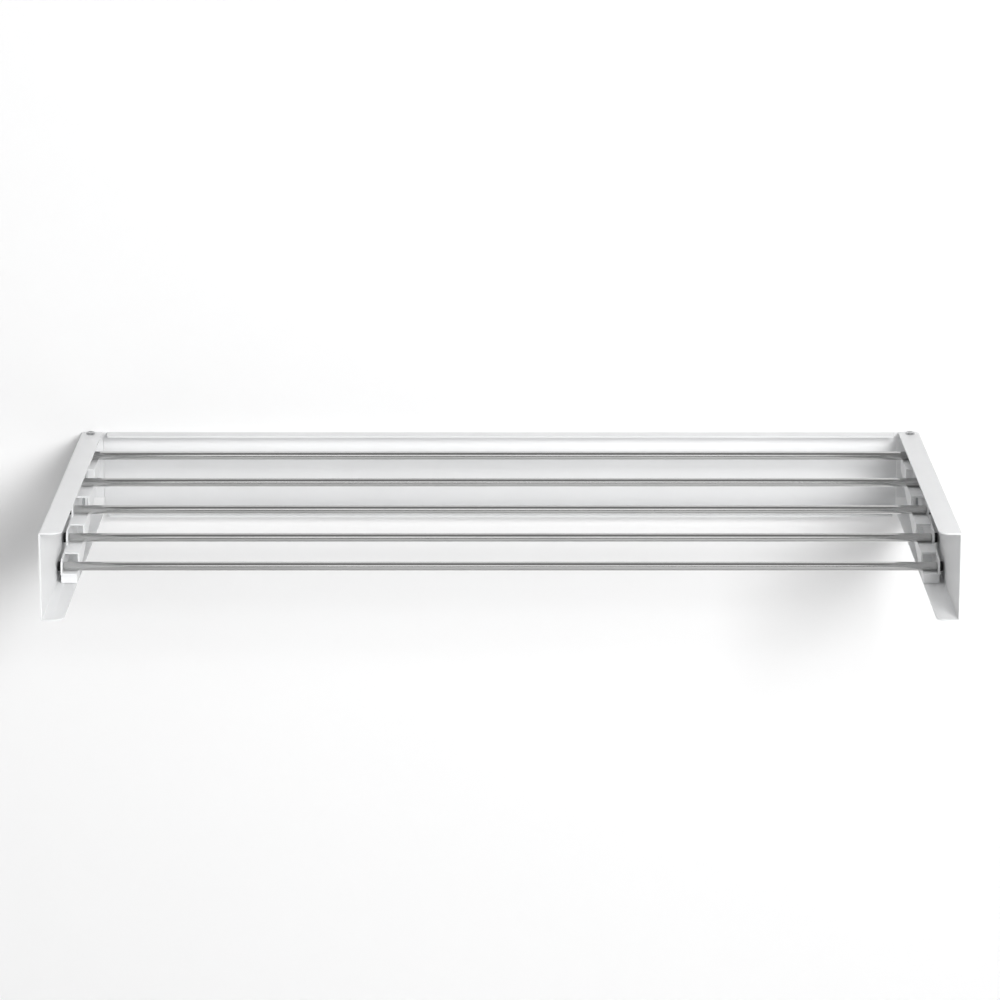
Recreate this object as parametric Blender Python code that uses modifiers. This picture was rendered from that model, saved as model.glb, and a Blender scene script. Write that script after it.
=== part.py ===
"""Wall-mounted fold-down drying rack, standing open as in use.

The frame has +X to the right, +Y into the wall and +Z up, with its origin at the middle of the wall
rail's back face. Two channel-shaped side cheeks hinge at their lower rear corners. A carrier of two
stepped arms and five round rods hinges at its upper rear corners. Its feet stand in slots in the
cheeks' bottom flanges. Cheeks and carrier fold down against the wall together.
"""

import math

import bmesh
import bpy
from mathutils import Matrix, Vector

# Overall sizes, in metres.
WIDTH = 0.800  # over the outer faces of the cheeks
DEPTH = 0.400  # from the wall to the cheeks' front edges
HEIGHT = 0.079  # of the cheeks and the wall rail

# Sheet and flanges.
CHEEK_SHEET = 0.0015
RAIL_SHEET = 0.0015
ARM_SHEET = 0.0015
BRACKET_SHEET = 0.0020
CHEEK_FLANGE = 0.020  # width across, web included
CHEEK_CORNER = 0.010  # radius of the flanges' front inner corners
RAIL_FLANGE = 0.020  # depth, web included
RAIL_FLANGE_SETBACK = 0.0040  # the rail's flanges end this far short of its web

# Rods.
ROD_COUNT = 5
ROD_RADIUS = 0.0040
FIRST_ROD_OUT = 0.0540  # from the wall
ROD_PITCH_OUT = 0.0534
FIRST_ROD_DOWN = 0.0110  # from the cheeks' top edge
LAST_ROD_UP = 0.0154  # above the cheeks' lower edge
STUD_RADIUS = 0.0025
CAP_RADIUS = 0.0045
CAP_LENGTH = 0.0035
CAP_FACE = 0.0005  # thickness of the cap's blind end
CAP_CHAMFER = 0.0006

# Stepped arms, relative to each rod's centre.
ARM_WIDTH = 0.0144  # across, web included
STEP_BEHIND = 0.0155  # each tread's rear edge
NOSE_AHEAD = 0.0115
NOSE_ABOVE = 0.0082
NOSE_RADIUS = 0.0070
NOSE_FOOT = 0.0020  # the nose's front runs this far below the rod's centre
VALLEY_AHEAD = 0.0030
VALLEY_DROP = 0.0010  # the web's edge below the tread, behind each nose
TREAD_AHEAD = 0.0110  # the last tread's front edge
FOOT_RECESS = 0.0030  # the foot's face behind the last tread's edge
FOOT_LENGTH = 0.018
FOOT_INSET = 0.0010  # the foot's plate is this much narrower than the treads

# Corner radii of the sheet metal and the stop blocks.
RAIL_CORNER = 0.0030
FLANGE_REAR_CORNER = 0.0010
ARM_REAR_CORNER = 0.0040
ARM_VALLEY_CORNER = 0.0020
FOOT_FRONT_CORNER = 0.0010
FOOT_REAR_CORNER = 0.0030
BLOCK_REAR_CORNER = 0.0010
BLOCK_FRONT_CORNER = 0.0020

# Hinges: distances from the wall and from the top edge.
CARRIER_PIVOT_OUT = 0.014
CARRIER_PIVOT_DOWN = 0.015
CHEEK_PIVOT_OUT = 0.014
CHEEK_PIVOT_UP = 0.013  # above the cheek's lower edge
CARRIER_PIN_RADIUS = 0.0030
CHEEK_PIN_RADIUS = 0.0040
BUSH_WALL = 0.0014
BUSH_RIM = 0.0018  # how far a bush's flange stands out past its sleeve
BUSH_FLANGE = 0.0012
PIN_HEAD_RADIUS = 0.0050
PIN_HEAD = 0.0012
CLIP = 0.0008
CLIP_RIM = 0.0016  # how far the clip stands out from its pin
PIN_END = 0.0024  # of the pin, past the bush
PIN_NECK = 0.0008  # depth of the clip's groove
CARRIER_BOSS = 0.0070
CHEEK_BOSS = 0.0065
EAR_HALF_WIDTH = 0.0055
EAR_SHOULDER = 0.0098  # the ear is straight from this far above the cheek's pivot
PLATE_ABOVE_PIVOT = 0.0020  # the wall plate ends this far above the cheek's pivot

# Stop blocks, their screws and the catches under the arms' feet.
BLOCK_HEIGHT = 0.0040
BLOCK_LENGTH = 0.0122
BLOCK_WIDTH = 0.0100
BLOCK_OUTER_RELIEF = 0.0015  # off its outer side, clear of the cheek's web
SCREW_OUT = 0.0095
SCREW_INWARD = 0.0095  # from the cheek's outer face
SCREW_RADIUS = 0.0020
SCREW_HEAD_RADIUS = 0.00435
SCREW_HEAD = 0.0025
SOCKET_RADIUS = 0.0016
SOCKET_DEPTH = 0.0014
CATCH_WIDTH = 0.0106
CATCH_LENGTH = 0.0110
TONGUE_WIDTH = 0.0066
TONGUE_LENGTH = 0.0090
SLOT_BEHIND = 0.0030  # room behind the tongue, which leaves the slot backwards
WALL_HOLE_RADIUS = 0.0026
WALL_HOLES_DOWN = (0.034, 0.052)

# Clearances.
GAP = 0.0003  # between pieces that touch
RUNNING = 0.0005  # between faces that slide past each other
SIDE_PLAY = 0.0006  # between the rail and the pieces beside it
WALL_PLAY = 0.0010  # between the wall and the cheeks
ARM_PLAY = 0.00065  # between the arms' rear corners and the cheeks' top flanges
STRIP_BITE = 0.0005  # how far joined sheets reach into each other

# Facets.
ROUND = 20
FINE_ROUND = 24
CORNER_STEPS = 5

# Places that follow.
TOP = HEIGHT / 2
CHEEK_OUTER = WIDTH / 2
CHEEK_INNER = CHEEK_OUTER - CHEEK_SHEET
FLANGE_EDGE = CHEEK_OUTER - CHEEK_FLANGE
EAR_OUTER = CHEEK_INNER - BUSH_FLANGE - GAP - RUNNING
EAR_INNER = EAR_OUTER - BRACKET_SHEET
ARM_OUTER = EAR_INNER - RUNNING
ARM_WEB_INNER = ARM_OUTER - ARM_SHEET
ARM_EDGE = ARM_OUTER - ARM_WIDTH
RAIL_END = FLANGE_EDGE - 2 * SIDE_PLAY
BRACKET_EDGE = RAIL_END + SIDE_PLAY
CARRIER_PIVOT = (CARRIER_PIVOT_OUT, CARRIER_PIVOT_DOWN)
CHEEK_PIVOT = (CHEEK_PIVOT_OUT, HEIGHT - CHEEK_PIVOT_UP)
ROD_PITCH_DOWN = (HEIGHT - FIRST_ROD_DOWN - LAST_ROD_UP) / (ROD_COUNT - 1)
RODS = [
    (FIRST_ROD_OUT + i * ROD_PITCH_OUT, FIRST_ROD_DOWN + i * ROD_PITCH_DOWN)
    for i in range(ROD_COUNT)
]
TREAD_DROP = ROD_RADIUS + GAP
ARM_REAR_DOWN = CHEEK_SHEET + ARM_PLAY
TREAD_FRONT = RODS[-1][0] + TREAD_AHEAD
FOOT_FRONT = TREAD_FRONT - FOOT_RECESS
FOOT_DOWN = HEIGHT - CHEEK_SHEET - GAP
TONGUE_FRONT = FOOT_FRONT - ARM_SHEET - GAP
SIDES = (("left", -1), ("right", 1))


# ---------------------------------------------------------------- scene and materials


def clear_scene():
    for old in list(bpy.data.objects):
        bpy.data.objects.remove(old, do_unlink=True)


def material(name, colour, roughness, metallic=0.0):
    made = bpy.data.materials.new(name)
    made.use_nodes = True
    shader = made.node_tree.nodes["Principled BSDF"]
    shader.inputs["Base Color"].default_value = (*colour, 1.0)
    shader.inputs["Roughness"].default_value = roughness
    shader.inputs["Metallic"].default_value = metallic
    return made


def collection(name):
    made = bpy.data.collections.new(name)
    bpy.context.scene.collection.children.link(made)
    return made


def world(x, out, down):
    """A point, from its place across, its distance from the wall and its distance below the top edge."""
    return Vector((x, -out, TOP - down))


def hinge_empty(name, x, pivot):
    empty = bpy.data.objects.new(name, None)
    empty.location = world(x, *pivot)
    rack.objects.link(empty)
    return empty


def place(obj, name, finish, at, hinge=None):
    """Names a piece, gives it its finish and puts it at a world point, under its hinge if it has one."""
    obj.name = name
    obj.data.name = name
    obj.data.materials.clear()
    obj.data.materials.append(finish)
    obj.location = at
    if hinge:
        obj.parent = hinge
        obj.location = at - hinge.location
    obj.data.shade_smooth()
    obj.data.set_sharp_from_angle(angle=math.radians(35))
    rack.objects.link(obj)
    return obj


# ---------------------------------------------------------------- outlines


def arc(centre, radius, start, end, steps=CORNER_STEPS):
    """Points on an arc, from one angle to another, in degrees."""
    angles = [math.radians(start + (end - start) * i / steps) for i in range(steps + 1)]
    return [(centre[0] + radius * math.cos(a), centre[1] + radius * math.sin(a)) for a in angles]


def circle(centre, radius, count=ROUND):
    turns = [2 * math.pi * i / count for i in range(count)]
    return [(centre[0] + radius * math.cos(a), centre[1] + radius * math.sin(a)) for a in turns]


def rectangle(low_u, high_u, low_v, high_v):
    return [(low_u, low_v), (high_u, low_v), (high_u, high_v), (low_u, high_v)]


def rounded(corners, steps=CORNER_STEPS):
    """An outline from corners (u, v, radius), each rounded by an arc that is tangent to both its sides."""
    points = []
    for i, (u, v, radius) in enumerate(corners):
        here = Vector((u, v))
        if radius <= 0:
            points.append((u, v))
            continue
        before = (Vector(corners[i - 1][:2]) - here).normalized()
        after = (Vector(corners[(i + 1) % len(corners)][:2]) - here).normalized()
        half = before.angle(after) / 2
        middle = here + (before + after).normalized() * (radius / math.sin(half))
        first = here + before * (radius / math.tan(half)) - middle
        last = here + after * (radius / math.tan(half)) - middle
        sweep = first.angle_signed(last)
        for step in range(steps + 1):
            turn = Matrix.Rotation(-sweep * step / steps, 2)
            points.append(tuple(middle + turn @ first))
    return points


# ---------------------------------------------------------------- solids


def slab(outlines, low, high, axis):
    """A flat plate with holes. Along X its outlines are (out, down); along Z they are (across, out)."""
    curve = bpy.data.curves.new("outline", "CURVE")
    curve.dimensions = "2D"
    curve.fill_mode = "BOTH"
    curve.extrude = abs(high - low) / 2
    for outline in outlines:
        spline = curve.splines.new("POLY")
        spline.points.add(len(outline) - 1)
        spline.use_cyclic_u = True
        for point, (u, v) in zip(spline.points, outline):
            point.co = (-u, TOP - v, 0, 1) if axis == "X" else (u, -v, 0, 1)
    holder = bpy.data.objects.new("outline", curve)
    bpy.context.scene.collection.objects.link(holder)
    bpy.context.view_layer.update()
    mesh = bpy.data.meshes.new_from_object(holder.evaluated_get(bpy.context.evaluated_depsgraph_get()))
    bpy.data.objects.remove(holder)
    bpy.data.curves.remove(curve)
    middle = (low + high) / 2
    if axis == "X":
        mesh.transform(Matrix(((0, 0, 1, middle), (1, 0, 0, 0), (0, 1, 0, 0), (0, 0, 0, 1))))
    else:
        mesh.transform(Matrix.Translation((0, 0, middle)))
    return tidy(mesh)


def tidy(mesh):
    """Welds a mesh's caps to its sides and turns its faces outwards."""
    work = bmesh.new()
    work.from_mesh(mesh)
    bmesh.ops.remove_doubles(work, verts=work.verts, dist=1e-6)
    bmesh.ops.recalc_face_normals(work, faces=work.faces)
    work.to_mesh(mesh)
    work.free()
    return mesh


def union(meshes):
    """One mesh from several that reach into each other."""
    holders = [bpy.data.objects.new("joined", mesh) for mesh in meshes]
    for holder in holders:
        bpy.context.scene.collection.objects.link(holder)
    for other in holders[1:]:
        join = holders[0].modifiers.new("join", "BOOLEAN")
        join.operation = "UNION"
        join.solver = "EXACT"
        join.object = other
    bpy.context.view_layer.update()
    graph = bpy.context.evaluated_depsgraph_get()
    mesh = bpy.data.meshes.new_from_object(holders[0].evaluated_get(graph))
    for holder in holders:
        bpy.data.objects.remove(holder)
    return mesh


def turned(profile, ring=False, steps=ROUND):
    """A turned object about its own Z. The profile holds (radius, station), outer side from top to bottom."""
    mesh = bpy.data.meshes.new("profile")
    ends = [(i, i + 1) for i in range(len(profile) - 1)]
    if ring:
        ends.append((len(profile) - 1, 0))
    mesh.from_pydata([(radius, 0, station) for radius, station in profile], ends, [])
    obj = bpy.data.objects.new("turned", mesh)
    screw = obj.modifiers.new("turn", "SCREW")
    screw.steps = steps
    screw.render_steps = steps
    screw.use_merge_vertices = True
    screw.merge_threshold = 0.00001
    return obj


def along_x(obj, side):
    """Turns a turned object so that its Z points outwards, away from the middle of the rack."""
    obj.rotation_euler = (0, side * math.pi / 2, 0)
    return obj


def flat_piece(mesh, name, finish, hinge=None):
    """A piece whose mesh is already in world places, with its origin moved to its hinge if it has one."""
    at = hinge.location if hinge else Vector((0, 0, 0))
    mesh.transform(Matrix.Translation(-at))
    return place(bpy.data.objects.new(name, mesh), name, finish, at.copy(), hinge)


# ---------------------------------------------------------------- wall rail and hinge brackets


def wall_rail():
    flange_end = RAIL_END - RAIL_FLANGE_SETBACK
    web = slab([rectangle(0, RAIL_SHEET, 0, HEIGHT)], -RAIL_END, RAIL_END, "X")
    meshes = [web]
    for low in (TOP - RAIL_SHEET, -TOP):
        outline = rounded(
            [
                (-flange_end, RAIL_SHEET - STRIP_BITE, 0),
                (flange_end, RAIL_SHEET - STRIP_BITE, 0),
                (flange_end, RAIL_FLANGE, RAIL_CORNER),
                (-flange_end, RAIL_FLANGE, RAIL_CORNER),
            ]
        )
        meshes.append(slab([outline], low, low + RAIL_SHEET, "Z"))
    flat_piece(union(meshes), "wall_rail", white_paint)


def ear_outline():
    """The bracket's ear: a strip from the carrier's pivot down to the cheek's, joined to the wall plate."""
    upper, lower = CARRIER_PIVOT, CHEEK_PIVOT
    front = upper[0] + EAR_HALF_WIDTH
    back = BRACKET_SHEET - STRIP_BITE
    return (
        [(back, upper[1] - CARRIER_BOSS)]
        + arc(upper, CARRIER_BOSS, -90, 0)
        + [(front, upper[1] + 2 * CARRIER_BOSS)]
        + [(front, lower[1] - EAR_SHOULDER)]
        + arc(lower, CHEEK_BOSS, 0, 180, 2 * CORNER_STEPS)
        + [(back, lower[1] - PLATE_ABOVE_PIVOT - CHEEK_BOSS / 2)]
    )


def hinge_bracket(side_name, side):
    plate_top = CHEEK_SHEET + RUNNING
    plate_bottom = CHEEK_PIVOT[1] - PLATE_ABOVE_PIVOT
    plate = slab([rectangle(0, BRACKET_SHEET, plate_top, plate_bottom)],
                 side * BRACKET_EDGE, side * EAR_OUTER, "X")
    ear = slab(
        [
            ear_outline(),
            circle(CARRIER_PIVOT, CARRIER_PIN_RADIUS + GAP),
            circle(CHEEK_PIVOT, CHEEK_PIN_RADIUS + GAP),
        ],
        side * EAR_INNER,
        side * EAR_OUTER,
        "X",
    )
    obj = flat_piece(union([plate, ear]), f"hinge_bracket_{side_name}", white_paint)
    middle = side * (BRACKET_EDGE + EAR_INNER) / 2
    for index, down in enumerate(WALL_HOLES_DOWN, 1):
        bore(obj, f"wall_hole_{side_name}_{index}", WALL_HOLE_RADIUS, world(middle, BRACKET_SHEET, down))


def bore(obj, name, radius, at):
    """Drills a hole along Y through a piece with a round cutter."""
    mesh = bpy.data.meshes.new(name)
    work = bmesh.new()
    depth = 4 * BRACKET_SHEET  # well past both faces of the sheet
    bmesh.ops.create_cone(work, cap_ends=True, segments=ROUND, radius1=radius, radius2=radius, depth=depth)
    work.to_mesh(mesh)
    work.free()
    cutter = bpy.data.objects.new(name, mesh)
    cutter.rotation_euler = (math.pi / 2, 0, 0)
    cutter.location = at
    cutter.hide_render = True
    cutter.display_type = "WIRE"
    cutters.objects.link(cutter)
    cut = obj.modifiers.new(name, "BOOLEAN")
    cut.operation = "DIFFERENCE"
    cut.solver = "EXACT"
    cut.object = cutter


def carrier_pin(side_name, side):
    """A headed pin through the ear and the arm's bush, with a groove for its clip."""
    r = CARRIER_PIN_RADIUS
    inner_end = bush_inner_end() - PIN_END - GAP
    groove = bush_inner_end() - GAP
    neck = r - PIN_NECK
    profile = [
        (0, EAR_OUTER + GAP + PIN_HEAD),
        (PIN_HEAD_RADIUS, EAR_OUTER + GAP + PIN_HEAD),
        (PIN_HEAD_RADIUS, EAR_OUTER + GAP),
        (r, EAR_OUTER + GAP),
        (r, groove),
        (neck, groove),
        (neck, groove - CLIP - 2 * GAP),
        (r, groove - CLIP - 2 * GAP),
        (r, inner_end),
        (0, inner_end),
    ]
    pin = along_x(turned(profile), side)
    place(pin, f"carrier_pin_{side_name}", zinc, world(0, *CARRIER_PIVOT))
    clip_high = groove - GAP
    clip = turned(
        [
            (r + CLIP_RIM, clip_high),
            (r + CLIP_RIM, clip_high - CLIP),
            (neck + GAP, clip_high - CLIP),
            (neck + GAP, clip_high),
        ],
        ring=True,
    )
    place(along_x(clip, side), f"carrier_pin_clip_{side_name}", zinc, world(0, *CARRIER_PIVOT))


def bush_inner_end():
    return ARM_WEB_INNER - GAP - 2 * BUSH_FLANGE


def cheek_pin(side_name, side):
    """A plain pin riveted flush in the ear, on which the cheek's bush turns."""
    profile = [
        (0, CHEEK_OUTER - GAP),
        (CHEEK_PIN_RADIUS, CHEEK_OUTER - GAP),
        (CHEEK_PIN_RADIUS, EAR_INNER),
        (0, EAR_INNER),
    ]
    place(along_x(turned(profile), side), f"cheek_pin_{side_name}", zinc, world(0, *CHEEK_PIVOT))


# ---------------------------------------------------------------- side cheeks


def cheek_flange(side, low, holes):
    """A flange, straight at the front for its outer part and rounded at its inner corner."""
    rear = WALL_PLAY if low > 0 else CHEEK_PIVOT_OUT
    near, far = side * (CHEEK_INNER + STRIP_BITE), side * FLANGE_EDGE
    outline = rounded(
        [(near, rear, 0), (near, DEPTH, 0), (far, DEPTH, CHEEK_CORNER), (far, rear, FLANGE_REAR_CORNER)]
    )
    return slab([outline] + holes, low, low + CHEEK_SHEET, "Z")


def side_cheek(side_name, side, hinge):
    pivot_hole = CHEEK_PIN_RADIUS + GAP + BUSH_WALL + GAP
    web_outline = (
        [(WALL_PLAY, 0), (DEPTH, 0), (DEPTH, HEIGHT)]
        + arc(CHEEK_PIVOT, CHEEK_PIVOT_UP, 90, 180, 2 * CORNER_STEPS)
    )
    web = slab([web_outline, circle(CHEEK_PIVOT, pivot_hole, FINE_ROUND)],
               side * CHEEK_INNER, side * CHEEK_OUTER, "X")
    screw_hole = circle((side * (CHEEK_OUTER - SCREW_INWARD), SCREW_OUT), SCREW_RADIUS + GAP)
    middle = tongue_middle(side)
    slot_half = TONGUE_WIDTH / 2 + RUNNING
    slot = rectangle(
        middle - slot_half,
        middle + slot_half,
        TONGUE_FRONT - TONGUE_LENGTH - SLOT_BEHIND,
        TONGUE_FRONT + RUNNING,
    )
    top = cheek_flange(side, TOP - CHEEK_SHEET, [screw_hole])
    bottom = cheek_flange(side, -TOP, [slot])
    flat_piece(union([web, top, bottom]), f"side_cheek_{side_name}", white_paint, hinge)


def cheek_bush(side_name, side, hinge):
    inner = CHEEK_PIN_RADIUS + GAP
    outer = inner + BUSH_WALL
    low = CHEEK_INNER - GAP - BUSH_FLANGE
    profile = [
        (outer, CHEEK_OUTER - GAP),
        (outer, CHEEK_INNER - GAP),
        (outer + BUSH_RIM, CHEEK_INNER - GAP),
        (outer + BUSH_RIM, low),
        (inner, low),
        (inner, CHEEK_OUTER - GAP),
    ]
    bush = along_x(turned(profile, ring=True), side)
    place(bush, f"cheek_bush_{side_name}", nylon, world(0, *CHEEK_PIVOT), hinge)


def stop_block(side_name, side, hinge):
    """The block under the top flange that bears on the bracket's plate and stops the cheek level."""
    middle = side * (CHEEK_OUTER - SCREW_INWARD)
    rear = BRACKET_SHEET + GAP
    front = rear + BLOCK_LENGTH
    inner = middle - BLOCK_WIDTH / 2
    outer = middle + BLOCK_WIDTH / 2 - BLOCK_OUTER_RELIEF
    outline = rounded(
        [
            (inner, rear, BLOCK_REAR_CORNER),
            (outer, rear, BLOCK_REAR_CORNER),
            (outer, front, BLOCK_FRONT_CORNER),
            (inner, front, BLOCK_FRONT_CORNER),
        ],
        steps=3,
    )
    if side < 0:
        outline = [(2 * middle - u, v) for u, v in outline]
    high = TOP - CHEEK_SHEET - GAP
    hole = circle((middle, SCREW_OUT), SCREW_RADIUS + GAP)
    flat_piece(slab([outline, hole], high - BLOCK_HEIGHT, high, "Z"),
               f"stop_block_{side_name}", nylon, hinge)


def block_screw(side_name, side, hinge):
    """A button-head screw with a socket, down through the top flange into the stop block."""
    dome = [
        (SCREW_HEAD_RADIUS * math.sin(math.radians(a)), GAP + SCREW_HEAD * math.cos(math.radians(a)))
        for a in (35, 55, 75, 90)
    ]
    profile = [
        (0, dome[0][1] - SOCKET_DEPTH),
        (SOCKET_RADIUS, dome[0][1] - SOCKET_DEPTH),
        (SOCKET_RADIUS, dome[0][1]),
        *dome,
        (SCREW_RADIUS, GAP),
        (SCREW_RADIUS, -CHEEK_SHEET - GAP - BLOCK_HEIGHT + RUNNING),
        (0, -CHEEK_SHEET - GAP - BLOCK_HEIGHT + RUNNING),
    ]
    at = world(side * (CHEEK_OUTER - SCREW_INWARD), SCREW_OUT, 0)
    place(turned(profile), f"block_screw_{side_name}", zinc, at, hinge)


# ---------------------------------------------------------------- rod carrier


def tongue_middle(side):
    return side * (ARM_WEB_INNER - CATCH_WIDTH / 2)


def arm_web_outline():
    """Boss at the pivot, a nose over each rod, the foot at the front and a straight lower edge."""
    pivot_out, pivot_down = CARRIER_PIVOT
    corners = [(pivot_out, pivot_down - CARRIER_BOSS, 0)]
    corners.append((RODS[0][0] - STEP_BEHIND, ARM_REAR_DOWN, ARM_REAR_CORNER))
    for out, down in RODS[:-1]:
        corners.append((out + NOSE_AHEAD, down - NOSE_ABOVE, NOSE_RADIUS))
        corners.append((out + NOSE_AHEAD, down + NOSE_FOOT, ARM_VALLEY_CORNER))
        corners.append((out + VALLEY_AHEAD, down + TREAD_DROP + VALLEY_DROP, ARM_VALLEY_CORNER))
    out, down = RODS[-1]
    corners.append((TREAD_FRONT, down - NOSE_ABOVE, NOSE_RADIUS))
    corners.append((TREAD_FRONT, down + TREAD_DROP + ARM_SHEET, 0))
    corners.append((FOOT_FRONT, down + TREAD_DROP + ARM_SHEET, 0))
    corners.append((FOOT_FRONT, FOOT_DOWN, FOOT_FRONT_CORNER))
    corners.append((FOOT_FRONT - FOOT_LENGTH, FOOT_DOWN, FOOT_REAR_CORNER))
    corners.append((pivot_out, pivot_down + CARRIER_BOSS, 0))
    boss = arc(CARRIER_PIVOT, CARRIER_BOSS, 90, 270, 2 * CORNER_STEPS)
    return rounded(corners) + boss[1:-1]


def tread_outlines():
    """The flat tab under each rod, from the open step behind it to the next one."""
    fronts = [out - STEP_BEHIND for out, _ in RODS[1:]] + [TREAD_FRONT]
    return [
        rectangle(out - STEP_BEHIND, front, down + TREAD_DROP, down + TREAD_DROP + ARM_SHEET)
        for (out, down), front in zip(RODS, fronts)
    ]


def inner_wall_outline():
    """The arm's inner side under its treads: stepped along them above and straight below."""
    rear = RODS[0][0] - STEP_BEHIND
    points = []
    for (back, _), (front, _), (_, low), _ in tread_outlines():
        points += [(back, low - STRIP_BITE), (min(front, FOOT_FRONT), low - STRIP_BITE)]
    heel = (FOOT_FRONT - FOOT_LENGTH, FOOT_DOWN)
    boss = (CARRIER_PIVOT[0], CARRIER_PIVOT[1] + CARRIER_BOSS)
    share = (heel[0] - rear) / (heel[0] - boss[0])
    points += [(FOOT_FRONT, FOOT_DOWN), heel, (rear, heel[1] + share * (boss[1] - heel[1]))]
    return points


def rod_arm(side_name, side, hinge):
    bush_outer = CARRIER_PIN_RADIUS + GAP + BUSH_WALL
    holes = [circle(rod, STUD_RADIUS + GAP) for rod in RODS]
    holes.append(circle(CARRIER_PIVOT, bush_outer + GAP))
    web = slab([arm_web_outline()] + holes, side * ARM_WEB_INNER, side * ARM_OUTER, "X")
    bite = side * (ARM_WEB_INNER + STRIP_BITE)
    treads = [slab([outline], side * ARM_EDGE, bite, "X") for outline in tread_outlines()]
    foot = slab(
        [rectangle(FOOT_FRONT - ARM_SHEET, FOOT_FRONT,
                   RODS[-1][1] + TREAD_DROP + ARM_SHEET - STRIP_BITE, FOOT_DOWN)],
        side * (ARM_EDGE + FOOT_INSET),
        bite,
        "X",
    )
    wall = slab([inner_wall_outline()], side * ARM_EDGE, side * (ARM_EDGE + ARM_SHEET), "X")
    flat_piece(union([web, *treads, foot, wall]), f"rod_arm_{side_name}", white_paint, hinge)


def arm_bush(side_name, side, hinge):
    inner = CARRIER_PIN_RADIUS + GAP
    outer = inner + BUSH_WALL
    rim_low = ARM_WEB_INNER - GAP - BUSH_FLANGE
    profile = [
        (outer, ARM_OUTER),
        (outer, rim_low + BUSH_FLANGE),
        (outer + BUSH_RIM, rim_low + BUSH_FLANGE),
        (outer + BUSH_RIM, rim_low),
        (outer, rim_low),
        (outer, bush_inner_end()),
        (inner, bush_inner_end()),
        (inner, ARM_OUTER),
    ]
    bush = along_x(turned(profile, ring=True), side)
    place(bush, f"arm_bush_{side_name}", nylon, world(0, *CARRIER_PIVOT), hinge)


def foot_catch(side_name, side, hinge):
    """The catch under the last tread, behind the foot, with its tongue down in the cheek's slot."""
    down = RODS[-1][1] + TREAD_DROP + ARM_SHEET + GAP
    middle = tongue_middle(side)
    half = CATCH_WIDTH / 2 - GAP
    front = TONGUE_FRONT
    body = slab([rectangle(front - CATCH_LENGTH, front, down, FOOT_DOWN)],
                middle - half, middle + half, "X")
    tongue = slab(
        [rectangle(front - TONGUE_LENGTH, front, FOOT_DOWN - STRIP_BITE, HEIGHT - GAP)],
        middle - TONGUE_WIDTH / 2,
        middle + TONGUE_WIDTH / 2,
        "X",
    )
    flat_piece(union([body, tongue]), f"foot_catch_{side_name}", nylon, hinge)


def rod(index, place_of, hinge):
    """A round bar whose ends are turned down to studs that pass through the arms' webs."""
    shoulder = ARM_WEB_INNER - GAP
    stud_end = ARM_OUTER + CAP_LENGTH - CAP_FACE - 2 * GAP
    profile = [
        (0, stud_end),
        (STUD_RADIUS, stud_end),
        (STUD_RADIUS, shoulder),
        (ROD_RADIUS, shoulder),
        (ROD_RADIUS, -shoulder),
        (STUD_RADIUS, -shoulder),
        (STUD_RADIUS, -stud_end),
        (0, -stud_end),
    ]
    place(along_x(turned(profile, steps=FINE_ROUND), 1), f"rod_{index}", steel,
          world(0, *place_of), hinge)


def rod_cap(side_name, side, index, place_of, hinge):
    """The black cap nut over a rod's stud, with a blind bore and a softened outer edge."""
    inner = STUD_RADIUS + GAP
    low = ARM_OUTER + GAP
    high = ARM_OUTER + CAP_LENGTH
    profile = [
        (0, high),
        (CAP_RADIUS - CAP_CHAMFER, high),
        (CAP_RADIUS, high - CAP_CHAMFER),
        (CAP_RADIUS, low),
        (inner, low),
        (inner, high - CAP_FACE),
        (0, high - CAP_FACE),
    ]
    cap = along_x(turned(profile), side)
    place(cap, f"rod_cap_{side_name}_{index}", black_plastic, world(0, *place_of), hinge)


# ---------------------------------------------------------------- assembly

clear_scene()
rack = collection("drying_rack")
cutters = collection("cutters")
white_paint = material("white_powder_coat", (0.86, 0.87, 0.88), 0.42)
steel = material("stainless_steel", (0.62, 0.62, 0.61), 0.24, 1.0)
zinc = material("zinc_plated_steel", (0.55, 0.56, 0.57), 0.35, 1.0)
nylon = material("grey_nylon", (0.55, 0.56, 0.57), 0.55)
black_plastic = material("black_plastic", (0.012, 0.012, 0.013), 0.45)

wall_rail()
carrier_hinge = hinge_empty("carrier_hinge", 0, CARRIER_PIVOT)
for side_name, side in SIDES:
    cheek_hinge = hinge_empty(f"cheek_hinge_{side_name}", side * CHEEK_OUTER, CHEEK_PIVOT)
    hinge_bracket(side_name, side)
    carrier_pin(side_name, side)
    cheek_pin(side_name, side)
    side_cheek(side_name, side, cheek_hinge)
    cheek_bush(side_name, side, cheek_hinge)
    stop_block(side_name, side, cheek_hinge)
    block_screw(side_name, side, cheek_hinge)
    rod_arm(side_name, side, carrier_hinge)
    arm_bush(side_name, side, carrier_hinge)
    foot_catch(side_name, side, carrier_hinge)
    for index, place_of in enumerate(RODS, 1):
        rod_cap(side_name, side, index, place_of, carrier_hinge)
for index, place_of in enumerate(RODS, 1):
    rod(index, place_of, carrier_hinge)
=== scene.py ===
"""Looks of the wall-mounted fold-down drying rack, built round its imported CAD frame."""
import math

import bmesh
import bpy
from mathutils import Matrix, Vector


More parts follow.
